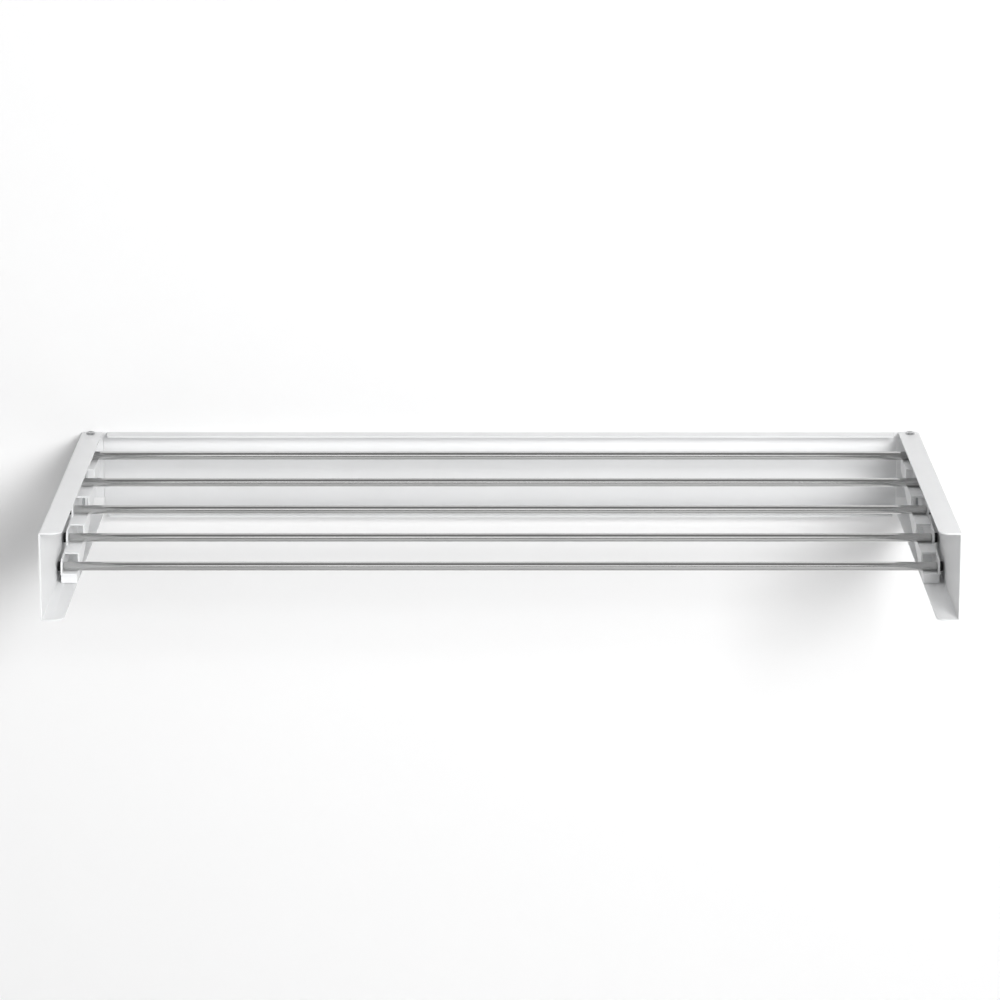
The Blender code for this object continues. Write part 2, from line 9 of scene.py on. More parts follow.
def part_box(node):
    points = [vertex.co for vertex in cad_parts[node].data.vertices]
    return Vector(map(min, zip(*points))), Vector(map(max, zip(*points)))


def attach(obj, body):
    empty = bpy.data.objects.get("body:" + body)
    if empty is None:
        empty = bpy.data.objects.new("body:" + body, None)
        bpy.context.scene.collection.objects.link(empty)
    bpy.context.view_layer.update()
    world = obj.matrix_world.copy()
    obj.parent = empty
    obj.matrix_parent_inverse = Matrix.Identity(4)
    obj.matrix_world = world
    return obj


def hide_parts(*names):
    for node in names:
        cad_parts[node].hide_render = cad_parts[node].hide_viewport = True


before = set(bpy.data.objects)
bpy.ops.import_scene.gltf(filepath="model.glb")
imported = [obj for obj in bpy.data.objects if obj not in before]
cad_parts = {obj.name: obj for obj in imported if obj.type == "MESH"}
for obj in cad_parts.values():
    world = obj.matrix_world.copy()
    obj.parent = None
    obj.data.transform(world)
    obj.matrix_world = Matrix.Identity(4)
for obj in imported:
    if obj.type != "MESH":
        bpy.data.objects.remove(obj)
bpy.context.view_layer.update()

# Places read from the frame, in metres.
SIDES = (("left", -1), ("right", 1))
RAIL_LOW, RAIL_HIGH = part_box("wall_rail")
CHEEK_LOW, CHEEK_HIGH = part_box("side_cheek_right")
ARM_LOW, ARM_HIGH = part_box("rod_arm_right")
BRACKET_LOW, BRACKET_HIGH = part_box("hinge_bracket_right")
BLOCK_LOW, BLOCK_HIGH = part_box("stop_block_right")
CATCH_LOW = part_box("foot_catch_right")[0]
TOP = RAIL_HIGH[2]
BOTTOM = RAIL_LOW[2]


def middle_of(node):
    """The middle of a CAD node's box."""
    low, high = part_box(node)
    return Vector([(a + b) / 2 for a, b in zip(low, high)])


def radius_of(node):
    """The radius of a round CAD node that lies along X."""
    low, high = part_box(node)
    return (high[2] - low[2]) / 2


ROD_COUNT = 5
RODS = [middle_of(f"rod_{i}").yz for i in range(1, ROD_COUNT + 1)]
ROD_RADIUS = radius_of("rod_1")
CARRIER_PIVOT = middle_of("carrier_pin_right").yz
CHEEK_PIVOT = middle_of("cheek_pin_right").yz
SCREW_AT = middle_of("block_screw_right").xy

# Sizes of the sheet metal and its bends.
CHEEK_SHEET = 0.0015
RAIL_SHEET = 0.0015
ARM_SHEET = 0.0015
BRACKET_SHEET = 0.0020
BEND = 0.0019  # outer radius of a bend in thin sheet
INNER_BEND = 0.0005
EDGE_ROUND = 0.00028  # how far paint and deburring soften a cut edge
GAP = 0.0003  # clearance between pieces that fit into each other

# The rail and the brackets.
RAIL_FLANGE_SETBACK = 0.0040
RAIL_CORNER = 0.003
RAIL_RELIEF = 0.0002  # the flanges start this far in front of the back's inner face
BRACKET_BEND = 0.0026
CARRIER_BOSS = 0.0070  # radius round the carrier's pivot, on the ear and on the arm
EAR_HALF_WIDTH = 0.0055
EAR_NECK = 2 * CARRIER_BOSS  # the ear's front is straight from here, below the carrier's pivot
EAR_SHOULDER = 1.5  # it is straight down to here, above the cheek's pivot, in radii of the lower boss
EAR_TOP_CORNER = 0.0005
EAR_INNER_CORNER = 0.001
PLATE_ABOVE_PIVOT = 0.0020  # the wall plate ends this far above the cheek's pivot
PLATE_NOTCH = 0.0038  # the lower boss meets the plate this far above the cheek's pivot
WALL_HOLE_RADIUS = 0.0026
WALL_HOLES_DOWN = (0.034, 0.052)
CARRIER_PIN_RADIUS = 0.0030
CHEEK_PIN_RADIUS = 0.0040
BUSH_WALL = 0.0014

# The cheeks, with the stop block and its screw.
CHEEK_CORNER = 0.010
FLANGE_REAR_CORNER = 0.001
SCREW_HOLE_RADIUS = 0.0023
SLOT_BEHIND = 0.0030
SLOT_PLAY = 0.0005
SLOT_CORNER = 0.0008
BLOCK_REAR_CORNER = 0.001
BLOCK_FRONT_CORNER = 0.002
SHANK_RADIUS = 0.0020
HEAD_RIM = 0.0003  # height of the screw head's straight rim
DOME_START = 30  # the dome's profile runs from this angle to 90 degrees
SOCKET_RADIUS = 0.00175
SOCKET_DEPTH = 0.0015
SCREW_EDGE = 0.00008

# The arms and the foot catches.
STEP_BEHIND = 0.0155
ARM_PLAY = 0.00065
ARM_REAR_CORNER = 0.004
NOSE_AHEAD = 0.0115
NOSE_ABOVE = 0.0082
NOSE_RADIUS = 0.0070
NOSE_FOOT = 0.0020
VALLEY_AHEAD = 0.0030
VALLEY_DROP = 0.0010
STEP_CORNER = 0.002
FOOT_RECESS = 0.0030
FOOT_LENGTH = 0.018
FOOT_INSET = 0.0010
TOE_CORNER = 0.001
HEEL_CORNER = 0.003
TONGUE_WIDTH = 0.0066
TONGUE_LENGTH = 0.0090
CATCH_WIDTH = 0.0106
CATCH_EDGE = 0.0004

# The rods and their caps.
STUD_RADIUS = 0.0025
ROD_CHAMFER = 0.0005
ROD_ROUND = 0.3  # the chamfer's middle lies this far in, in chamfers, which rounds it
CAP_RIM = 0.0007
CAP_DISH = 0.0002
CAP_DISH_EDGE = 2.2  # the dish starts this far in from the cap's side, in rims
CAP_CHAMFER = 0.0002
CAP_FACE = 0.0005  # thickness of the cap over the stud's end

# How finely round shapes are drawn, and how pieces are cut and joined.
FINE = 48  # sides of a round hole or a turned piece
ROD_SIDES = 64
HEEL_STEPS = 20
BOSS_STEPS = 24
WIDE_CORNER_STEPS = 16
STRAIGHT = 0.01  # a corner nearer to straight than this, in radians, isn't rounded
WELD = 1e-6
AXIS_WELD = 5e-6
BITE = 0.0005  # how far joined parts reach into each other
OVERCUT = 0.01  # how far a cutting outline passes the sheet that it cuts
CHEEK_OVERCUT = 4  # the same for the cheek's side outline, in sheets
FACE_CLEAR = 0.0001  # an outline passes a face that it leaves whole by this
EAR_OVERCUT = 0.002
BACK_OVERCUT = 0.001
DRILL_REACH = 0.006
HOLE_REACH = 0.004
SOCKET_OVERCUT = 0.002
EDGE_SEGMENTS = 3
EDGE_ANGLE = 50  # only edges sharper than this are softened, in degrees
SMOOTH_ANGLE = 32  # shading is smooth across edges flatter than this, in degrees

# Places that follow from these.
ARM_WEB_INNER = ARM_HIGH[0] - ARM_SHEET
TREAD_DROP = ROD_RADIUS + GAP
TREAD_FRONT = ARM_LOW[1]
FOOT_FRONT = TREAD_FRONT + FOOT_RECESS
FOOT_DOWN = BOTTOM + CHEEK_SHEET + GAP
EAR_INNER = BRACKET_HIGH[0] - BRACKET_SHEET
RAIL_END = RAIL_HIGH[0]


# ---------------------------------------------------------------- outlines


def arc(centre, radius, start, end, steps=10):
    """Points from one angle to another, in degrees."""
    angles = [math.radians(start + (end - start) * i / steps) for i in range(steps + 1)]
    return [(centre[0] + radius * math.cos(a), centre[1] + radius * math.sin(a)) for a in angles]


def circle(centre, radius, count=FINE):
    """A closed outline with that many sides."""
    turns = [2 * math.pi * i / count for i in range(count)]
    return [(centre[0] + radius * math.cos(a), centre[1] + radius * math.sin(a)) for a in turns]


def rounded(corners, steps=8):
    """An outline from corners (u, v, radius), each rounded by an arc that is tangent to both its sides."""
    points = []
    for i, (u, v, radius) in enumerate(corners):
        here = Vector((u, v))
        before = (Vector(corners[i - 1][:2]) - here).normalized()
        after = (Vector(corners[(i + 1) % len(corners)][:2]) - here).normalized()
        half = before.angle(after) / 2
        if radius <= 0 or half > math.pi / 2 - STRAIGHT:
            points.append((u, v))
            continue
        middle = here + (before + after).normalized() * (radius / math.sin(half))
        first = here + before * (radius / math.tan(half)) - middle
        last = here + after * (radius / math.tan(half)) - middle
        sweep = first.angle_signed(last)
        for step in range(steps + 1):
            points.append(tuple(middle + Matrix.Rotation(-sweep * step / steps, 2) @ first))
    return points


# ---------------------------------------------------------------- mesh making

# Rotations that turn a plate drawn in X and Y so that it is thick along an axis.
AXES = {
    "X": ((0, 0, 1), (1, 0, 0), (0, 1, 0)),
    "Y": ((1, 0, 0), (0, 0, 1), (0, 1, 0)),
    "Z": ((1, 0, 0), (0, 1, 0), (0, 0, 1)),
}


def clean(mesh):
    """Welds doubled points, drops slivers and turns every face outwards."""
    work = bmesh.new()
    work.from_mesh(mesh)
    bmesh.ops.remove_doubles(work, verts=work.verts, dist=WELD)
    bmesh.ops.dissolve_degenerate(work, edges=work.edges, dist=WELD)
    bmesh.ops.recalc_face_normals(work, faces=work.faces)
    work.to_mesh(mesh)
    work.free()
    return mesh


def prism(outlines, low, high, axis):
    """A flat plate with holes: along X its outlines are (y, z), along Y (x, z) and along Z (x, y)."""
    curve = bpy.data.curves.new("outline", "CURVE")
    curve.dimensions = "2D"
    curve.fill_mode = "BOTH"
    curve.extrude = abs(high - low) / 2
    for outline in outlines:
        spline = curve.splines.new("POLY")
        spline.points.add(len(outline) - 1)
        spline.use_cyclic_u = True
        for point, (u, v) in zip(spline.points, outline):
            point.co = (u, v, 0, 1)
    holder = bpy.data.objects.new("outline", curve)
    bpy.context.scene.collection.objects.link(holder)
    bpy.context.view_layer.update()
    graph = bpy.context.evaluated_depsgraph_get()
    mesh = bpy.data.meshes.new_from_object(holder.evaluated_get(graph))
    bpy.data.objects.remove(holder)
    bpy.data.curves.remove(curve)
    turn = Matrix(AXES[axis])
    middle = turn.col[2] * (low + high) / 2
    mesh.transform(Matrix.Translation(middle) @ turn.to_4x4())
    return clean(mesh)


def combine(first, others, how):
    """Boolean of meshes: how is UNION, INTERSECT or DIFFERENCE."""
    holders = [bpy.data.objects.new("combined", mesh) for mesh in [first, *others]]
    for holder in holders:
        bpy.context.scene.collection.objects.link(holder)
    for other in holders[1:]:
        step = holders[0].modifiers.new("step", "BOOLEAN")
        step.operation = how
        step.solver = "EXACT"
        step.object = other
    bpy.context.view_layer.update()
    graph = bpy.context.evaluated_depsgraph_get()
    mesh = bpy.data.meshes.new_from_object(holders[0].evaluated_get(graph))
    for holder in holders:
        bpy.data.objects.remove(holder)
    return clean(mesh)


def turned(profile, axis="X", side=1, at=(0, 0, 0), steps=FINE):
    """A turned mesh about a line through a point, from a profile of (radius, station)."""
    mesh = bpy.data.meshes.new("turned")
    ends = [(i, i + 1) for i in range(len(profile) - 1)]
    mesh.from_pydata([(radius, 0, station) for radius, station in profile], ends, [])
    holder = bpy.data.objects.new("turned", mesh)
    bpy.context.scene.collection.objects.link(holder)
    screw = holder.modifiers.new("turn", "SCREW")
    screw.steps = steps
    screw.render_steps = steps
    screw.use_merge_vertices = True
    screw.merge_threshold = AXIS_WELD
    bpy.context.view_layer.update()
    graph = bpy.context.evaluated_depsgraph_get()
    made = bpy.data.meshes.new_from_object(holder.evaluated_get(graph))
    bpy.data.objects.remove(holder)
    if axis == "X":
        made.transform(Matrix.Rotation(side * math.pi / 2, 4, "Y"))
    made.transform(Matrix.Translation(at))
    return clean(made)


def piece(name, mesh, finish, body, replaced, soften=EDGE_ROUND):
    """One finished piece: its edges softened, its finish on it, riding on its body in its node's place."""
    mesh.name = name
    mesh.materials.clear()
    mesh.materials.append(FINISHES[finish])
    obj = bpy.data.objects.new(name, mesh)
    bpy.context.scene.collection.objects.link(obj)
    if soften:
        bevel = obj.modifiers.new("softened edges", "BEVEL")
        bevel.width = soften
        bevel.segments = EDGE_SEGMENTS
        bevel.limit_method = "ANGLE"
        bevel.angle_limit = math.radians(EDGE_ANGLE)
        graph = bpy.context.evaluated_depsgraph_get()
        made = bpy.data.meshes.new_from_object(obj.evaluated_get(graph))
        obj.modifiers.clear()
        obj.data = made
        made.name = name
    obj.data.shade_smooth()
    obj.data.set_sharp_from_angle(angle=math.radians(SMOOTH_ANGLE))
    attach(obj, body)
    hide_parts(replaced)


# ---------------------------------------------------------------- materials

NOISE_LOW = 0.3  # noise values mostly lie between these two
NOISE_HIGH = 0.7
MIX_FACTOR, MIX_A, MIX_B = 0, 6, 7  # a Mix node's inputs for colours
MIX_RESULT = 2


def node_material(name):
    """A new material with its node tree and its Principled shader."""
    made = bpy.data.materials.new(name)
    made.use_nodes = True
    tree = made.node_tree
    return made, tree, tree.nodes["Principled BSDF"]


def noise(tree, scale, detail, stretch=(1, 1, 1)):
    """Noise in the piece's own coordinates, in features per metre, which stretch lengthens along an axis."""
    coords = tree.nodes.new("ShaderNodeTexCoord")
    mapping = tree.nodes.new("ShaderNodeMapping")
    mapping.inputs["Scale"].default_value = [1 / s for s in stretch]
    tree.links.new(coords.outputs["Object"], mapping.inputs["Vector"])
    made = tree.nodes.new("ShaderNodeTexNoise")
    made.inputs["Scale"].default_value = scale
    made.inputs["Detail"].default_value = detail
    tree.links.new(mapping.outputs["Vector"], made.inputs["Vector"])
    return made.outputs["Fac"]


def spread(tree, value, low, high):
    """A noise value mapped to a range."""
    made = tree.nodes.new("ShaderNodeMapRange")
    made.inputs["From Min"].default_value = NOISE_LOW
    made.inputs["From Max"].default_value = NOISE_HIGH
    made.inputs["To Min"].default_value = low
    made.inputs["To Max"].default_value = high
    tree.links.new(value, made.inputs["Value"])
    return made.outputs["Result"]


def mixed(tree, value, dark, light):
    """A colour between two others."""
    made = tree.nodes.new("ShaderNodeMix")
    made.data_type = "RGBA"
    made.inputs[MIX_A].default_value = (*dark, 1)
    made.inputs[MIX_B].default_value = (*light, 1)
    tree.links.new(value, made.inputs[MIX_FACTOR])
    return made.outputs[MIX_RESULT]


def bump(tree, shader, *layers):
    """Bump from (height, distance, strength) layers, one over the other."""
    normal = None
    for height, distance, strength in layers:
        made = tree.nodes.new("ShaderNodeBump")
        made.inputs["Distance"].default_value = distance
        made.inputs["Strength"].default_value = strength
        tree.links.new(height, made.inputs["Height"])
        if normal:
            tree.links.new(normal, made.inputs["Normal"])
        normal = made.outputs["Normal"]
    tree.links.new(normal, shader.inputs["Normal"])


def white_powder_coat():
    """Satin white powder coat: a fine orange peel, a slightly uneven gloss and an almost even tone."""
    made, tree, shader = node_material("white_powder_coat")
    tone = spread(tree, noise(tree, scale=14, detail=4), low=0, high=1)
    colour = mixed(tree, tone, dark=(0.815, 0.82, 0.825), light=(0.845, 0.85, 0.855))
    tree.links.new(colour, shader.inputs["Base Color"])
    gloss = spread(tree, noise(tree, scale=60, detail=5), low=0.36, high=0.46)
    tree.links.new(gloss, shader.inputs["Roughness"])
    shader.inputs["Specular IOR Level"].default_value = 0.5
    peel = noise(tree, scale=700, detail=2)
    fine = noise(tree, scale=2600, detail=2)
    bump(tree, shader, (peel, 0.00006, 0.35), (fine, 0.00002, 0.25))
    return made


def stainless_steel():
    """Drawn and polished bar: fine lines along its length and faint patches in its tone."""
    made, tree, shader = node_material("stainless_steel")
    shader.inputs["Metallic"].default_value = 1
    lines = noise(tree, scale=2400, detail=3, stretch=(160, 1, 1))
    patches = noise(tree, scale=26, detail=4, stretch=(5, 1, 1))
    tone = spread(tree, patches, low=0, high=1)
    colour = mixed(tree, tone, dark=(0.53, 0.53, 0.527), light=(0.59, 0.59, 0.587))
    tree.links.new(colour, shader.inputs["Base Color"])
    tree.links.new(spread(tree, lines, low=0.12, high=0.2), shader.inputs["Roughness"])
    bump(tree, shader, (lines, 0.00002, 0.2))
    return made


def zinc_plate():
    """Bright zinc: pale and slightly mottled, with soft tool marks."""
    made, tree, shader = node_material("zinc_plate")
    shader.inputs["Metallic"].default_value = 1
    mottle = noise(tree, scale=420, detail=4)
    tone = spread(tree, mottle, low=0, high=1)
    colour = mixed(tree, tone, dark=(0.50, 0.505, 0.51), light=(0.62, 0.625, 0.63))
    tree.links.new(colour, shader.inputs["Base Color"])
    tree.links.new(spread(tree, mottle, low=0.26, high=0.4), shader.inputs["Roughness"])
    bump(tree, shader, (noise(tree, scale=1800, detail=3), 0.00002, 0.3))
    return made


def grey_nylon():
    """Moulded grey nylon with a fine spark-eroded grain."""
    made, tree, shader = node_material("grey_nylon")
    tone = spread(tree, noise(tree, scale=90, detail=4), low=0, high=1)
    colour = mixed(tree, tone, dark=(0.50, 0.51, 0.52), light=(0.57, 0.58, 0.59))
    tree.links.new(colour, shader.inputs["Base Color"])
    gloss = spread(tree, noise(tree, scale=300, detail=3), low=0.48, high=0.62)
    tree.links.new(gloss, shader.inputs["Roughness"])
    shader.inputs["Subsurface Weight"].default_value = 0.03
    bump(tree, shader, (noise(tree, scale=2200, detail=3), 0.00004, 0.4))
    return made


def black_plastic():
    """Moulded black plastic with a fine grain and dulled patches."""
    made, tree, shader = node_material("black_plastic")
    tone = spread(tree, noise(tree, scale=200, detail=4), low=0, high=1)
    colour = mixed(tree, tone, dark=(0.008, 0.008, 0.009), light=(0.016, 0.016, 0.017))
    tree.links.new(colour, shader.inputs["Base Color"])
    gloss = spread(tree, noise(tree, scale=500, detail=3), low=0.5, high=0.66)
    tree.links.new(gloss, shader.inputs["Roughness"])
    shader.inputs["Specular IOR Level"].default_value = 0.25
    bump(tree, shader, (noise(tree, scale=2600, detail=3), 0.00003, 0.4))
    return made


FINISHES = {
    "white_paint": white_powder_coat(),
    "steel": stainless_steel(),
    "zinc": zinc_plate(),
    "nylon": grey_nylon(),
    "black_plastic": black_plastic(),
}


# ---------------------------------------------------------------- wall rail and brackets


def rail_piece():
    """The channel on the wall, its flanges a little shorter than its back."""
    front = RAIL_LOW[1]
    section = rounded(
        [
            (front, TOP, 0),
            (0, TOP, BEND),
            (0, BOTTOM, BEND),
            (front, BOTTOM, 0),
            (front, BOTTOM + RAIL_SHEET, 0),
            (-RAIL_SHEET, BOTTOM + RAIL_SHEET, INNER_BEND),
            (-RAIL_SHEET, TOP - RAIL_SHEET, INNER_BEND),
            (front, TOP - RAIL_SHEET, 0),
        ]
    )
    end = RAIL_END - RAIL_FLANGE_SETBACK
    plan = rounded(
        [
            (-RAIL_END, BACK_OVERCUT, 0),
            (RAIL_END, BACK_OVERCUT, 0),
            (RAIL_END, -RAIL_SHEET, 0),
            (end, -RAIL_SHEET - RAIL_RELIEF, 0),
            (end, front, RAIL_CORNER),
            (-end, front, RAIL_CORNER),
            (-end, -RAIL_SHEET - RAIL_RELIEF, 0),
            (-RAIL_END, -RAIL_SHEET, 0),
        ]
    )
    body = prism([section], -RAIL_END, RAIL_END, "X")
    mesh = combine(body, [prism([plan], BOTTOM - OVERCUT, TOP + OVERCUT, "Z")], "INTERSECT")
    piece("rail_channel", mesh, "white_paint", "wall_frame", "wall_rail")


def ear_side_outline():
    """The bracket from the side: its plate on the wall, with the ear that carries both pivots."""
    top, bottom = BRACKET_HIGH[2], BRACKET_LOW[2]
    upper, lower = CARRIER_PIVOT, CHEEK_PIVOT
    boss = lower[1] - bottom
    front = upper[0] - EAR_HALF_WIDTH
    plate_bottom = lower[1] + PLATE_ABOVE_PIVOT
    plate_front = -BRACKET_SHEET - FACE_CLEAR
    corners = [
        (0, top, 0),
        (plate_front, top, EAR_TOP_CORNER),
        (plate_front, upper[1] + CARRIER_BOSS, EAR_INNER_CORNER),
        (upper[0], upper[1] + CARRIER_BOSS, 0),
    ]
    points = rounded(corners)
    points += arc(upper, CARRIER_BOSS, 90, 180)
    points += [(front, upper[1] - EAR_NECK), (front, lower[1] + EAR_SHOULDER * boss)]
    points += arc(lower, boss, 180, 360, HEEL_STEPS)
    points += [(-BRACKET_SHEET, lower[1] + PLATE_NOTCH), (-BRACKET_SHEET, plate_bottom), (0, plate_bottom)]
    return points


def bracket_piece(side_name, side):
    """The hinge bracket: a plate on the wall, bent into an ear, with holes for pins and wall screws."""
    outer, edge = side * BRACKET_HIGH[0], side * BRACKET_LOW[0]
    front = BRACKET_LOW[1]
    section = rounded(
        [
            (edge, 0, 0),
            (outer, 0, BRACKET_BEND),
            (outer, front - EAR_OVERCUT, 0),
            (outer - side * BRACKET_SHEET, front - EAR_OVERCUT, 0),
            (outer - side * BRACKET_SHEET, -BRACKET_SHEET, INNER_BEND),
            (edge, -BRACKET_SHEET, 0),
        ]
    )
    body = prism([section], BRACKET_LOW[2] - OVERCUT, BRACKET_HIGH[2] + OVERCUT, "Z")
    holes = [
        circle(CARRIER_PIVOT, CARRIER_PIN_RADIUS + GAP),
        circle(CHEEK_PIVOT, CHEEK_PIN_RADIUS + GAP),
    ]
    past = side * OVERCUT
    shape = prism([ear_side_outline(), *holes], edge - past, outer + past, "X")
    mesh = combine(body, [shape], "INTERSECT")
    middle = side * (BRACKET_LOW[0] + EAR_INNER) / 2
    drills = [
        prism([circle((middle, TOP - down), WALL_HOLE_RADIUS)], -DRILL_REACH, DRILL_REACH, "Y")
        for down in WALL_HOLES_DOWN
    ]
    mesh = combine(mesh, drills, "DIFFERENCE")
    name = f"hinge_bracket_{side_name}"
    piece(f"bracket_{side_name}", mesh, "white_paint", "wall_frame", name)


# ---------------------------------------------------------------- side cheeks


def cheek_piece(side_name, side):
    """The folded cheek: a channel open inwards, round at its lower rear corner about the pivot."""
    outer, edge = side * CHEEK_HIGH[0], side * CHEEK_LOW[0]
    front, rear = CHEEK_LOW[1], CHEEK_HIGH[1]
    sheet = side * CHEEK_SHEET
    section = rounded(
        [
            (edge, TOP, 0),
            (outer, TOP, BEND),
            (outer, BOTTOM, BEND),
            (edge, BOTTOM, 0),
            (edge, BOTTOM + CHEEK_SHEET, 0),
            (outer - sheet, BOTTOM + CHEEK_SHEET, INNER_BEND),
            (outer - sheet, TOP - CHEEK_SHEET, INNER_BEND),
            (edge, TOP - CHEEK_SHEET, 0),
        ]
    )
    heel = CHEEK_PIVOT[1] - BOTTOM
    side_view = [(front, BOTTOM), (front, TOP), (rear, TOP)]
    side_view += arc(CHEEK_PIVOT, heel, 0, -90, HEEL_STEPS)
    hole = circle(CHEEK_PIVOT, CHEEK_PIN_RADIUS + GAP + BUSH_WALL + GAP)
    plan = rounded(
        [
            (outer + sheet, rear, 0),
            (outer + sheet, front, 0),
            (edge, front, CHEEK_CORNER),
            (edge, rear, FLANGE_REAR_CORNER),
        ],
        steps=WIDE_CORNER_STEPS,
    )
    past = CHEEK_OVERCUT * sheet
    body = prism([section], front, rear, "Y")
    mesh = combine(
        body,
        [
            prism([side_view, hole], edge - past, outer + past, "X"),
            prism([plan], BOTTOM - OVERCUT, TOP + OVERCUT, "Z"),
        ],
        "INTERSECT",
    )
    mesh = combine(mesh, [screw_hole(side), slot_cutter(side)], "DIFFERENCE")
    piece(f"cheek_{side_name}", mesh, "white_paint", f"cheek_{side_name}", f"side_cheek_{side_name}")


def screw_hole(side):
    """The hole for the stop block's screw in the top flange."""
    centre = (side * SCREW_AT[0], SCREW_AT[1])
    return prism([circle(centre, SCREW_HOLE_RADIUS)], TOP - HOLE_REACH, TOP + HOLE_REACH, "Z")


def slot_cutter(side):
    """The slot for the foot catch's tongue in the bottom flange."""
    middle = side * (ARM_WEB_INNER - CATCH_WIDTH / 2)
    half = TONGUE_WIDTH / 2 + SLOT_PLAY
    tongue_front = CATCH_LOW[1]
    outline = rounded(
        [
            (middle - half, tongue_front - SLOT_PLAY, SLOT_CORNER),
            (middle + half, tongue_front - SLOT_PLAY, SLOT_CORNER),
            (middle + half, tongue_front + TONGUE_LENGTH + SLOT_BEHIND, SLOT_CORNER),
            (middle - half, tongue_front + TONGUE_LENGTH + SLOT_BEHIND, SLOT_CORNER),
        ]
    )
    return prism([outline], BOTTOM - HOLE_REACH, BOTTOM + HOLE_REACH, "Z")


def block_piece(side_name, side):
    """The stop block under the top flange."""
    low, high = BLOCK_LOW, BLOCK_HIGH
    outline = rounded(
        [
            (side * low[0], high[1], BLOCK_REAR_CORNER),
            (side * high[0], high[1], BLOCK_REAR_CORNER),
            (side * high[0], low[1], BLOCK_FRONT_CORNER),
            (side * low[0], low[1], BLOCK_FRONT_CORNER),
        ]
    )
    hole = circle((side * SCREW_AT[0], SCREW_AT[1]), SCREW_HOLE_RADIUS)
    mesh = prism([outline, hole], low[2], high[2], "Z")
    piece(f"stop_pad_{side_name}", mesh, "nylon", f"cheek_{side_name}", f"stop_block_{side_name}")


def screw_piece(side_name, side):
    """The button-head screw, with a six-sided socket."""
    low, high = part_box(f"block_screw_{side_name}")
    head = (high[0] - low[0]) / 2
    seat = TOP + GAP
    rise = high[2] - seat - HEAD_RIM
    steeper = 90 / (90 - DOME_START)
    dome = []
    for angle in range(DOME_START, 91, 6):
        across = head * math.sin(math.radians(angle))
        up = rise * math.cos(math.radians(angle - DOME_START) * steeper)
        dome.append((across, seat + HEAD_RIM + up))
    profile = [(0, high[2]), *dome, (head, seat), (SHANK_RADIUS, seat), (SHANK_RADIUS, low[2]), (0, low[2])]
    at = (side * SCREW_AT[0], SCREW_AT[1], 0)
    body = turned(profile, axis="Z", at=at)
    hexagon = circle(at[:2], SOCKET_RADIUS, count=6)
    socket = prism([hexagon], high[2] - SOCKET_DEPTH, high[2] + SOCKET_OVERCUT, "Z")
    mesh = combine(body, [socket], "DIFFERENCE")
    piece(f"screw_{side_name}", mesh, "zinc", f"cheek_{side_name}", f"block_screw_{side_name}", SCREW_EDGE)


# ---------------------------------------------------------------- rod carrier


def arm_web_outline():
    """The arm from the side: a round end at the pivot, a nose and a valley between rods, and a foot."""
    pivot = CARRIER_PIVOT
    corners = [(pivot[0], pivot[1] + CARRIER_BOSS, 0)]
    corners.append((RODS[0][0] + STEP_BEHIND, TOP - CHEEK_SHEET - ARM_PLAY, ARM_REAR_CORNER))
    for y, z in RODS[:-1]:
        corners.append((y - NOSE_AHEAD, z + NOSE_ABOVE, NOSE_RADIUS))
        corners.append((y - NOSE_AHEAD, z - NOSE_FOOT, STEP_CORNER))
        corners.append((y - VALLEY_AHEAD, z - TREAD_DROP - VALLEY_DROP, STEP_CORNER))
    y, z = RODS[-1]
    corners.append((TREAD_FRONT, z + NOSE_ABOVE, NOSE_RADIUS))
    corners.append((TREAD_FRONT, z - TREAD_DROP - ARM_SHEET, 0))
    corners.append((FOOT_FRONT, z - TREAD_DROP - ARM_SHEET, 0))
    corners.append((FOOT_FRONT, FOOT_DOWN, TOE_CORNER))
    corners.append((FOOT_FRONT + FOOT_LENGTH, FOOT_DOWN, HEEL_CORNER))
    corners.append((pivot[0], pivot[1] - CARRIER_BOSS, 0))
    return rounded(corners) + arc(pivot, CARRIER_BOSS, -90, 90, BOSS_STEPS)[1:-1]


def tread_outlines():
    """The flat tab under each rod, from the open step behind it to the next one."""
    fronts = [y + STEP_BEHIND for y, _ in RODS[1:]] + [TREAD_FRONT]
    outlines = []
    for (y, z), front in zip(RODS, fronts):
        rear = y + STEP_BEHIND
        top = z - TREAD_DROP
        outlines.append([(front, top), (rear, top), (rear, top - ARM_SHEET), (front, top - ARM_SHEET)])
    return outlines


def inner_wall_outline():
    """The arm's inner side under its treads: stepped along them above and straight below."""
    rear = RODS[0][0] + STEP_BEHIND
    points = []
    for (front, _), (back, _), (_, low), _ in tread_outlines():
        points += [(back, low + BITE), (max(front, FOOT_FRONT), low + BITE)]
    heel = (FOOT_FRONT + FOOT_LENGTH, FOOT_DOWN)
    boss = (CARRIER_PIVOT[0], CARRIER_PIVOT[1] - CARRIER_BOSS)
    share = (heel[0] - rear) / (heel[0] - boss[0])
    points += [(FOOT_FRONT, FOOT_DOWN), heel, (rear, heel[1] + share * (boss[1] - heel[1]))]
    return points


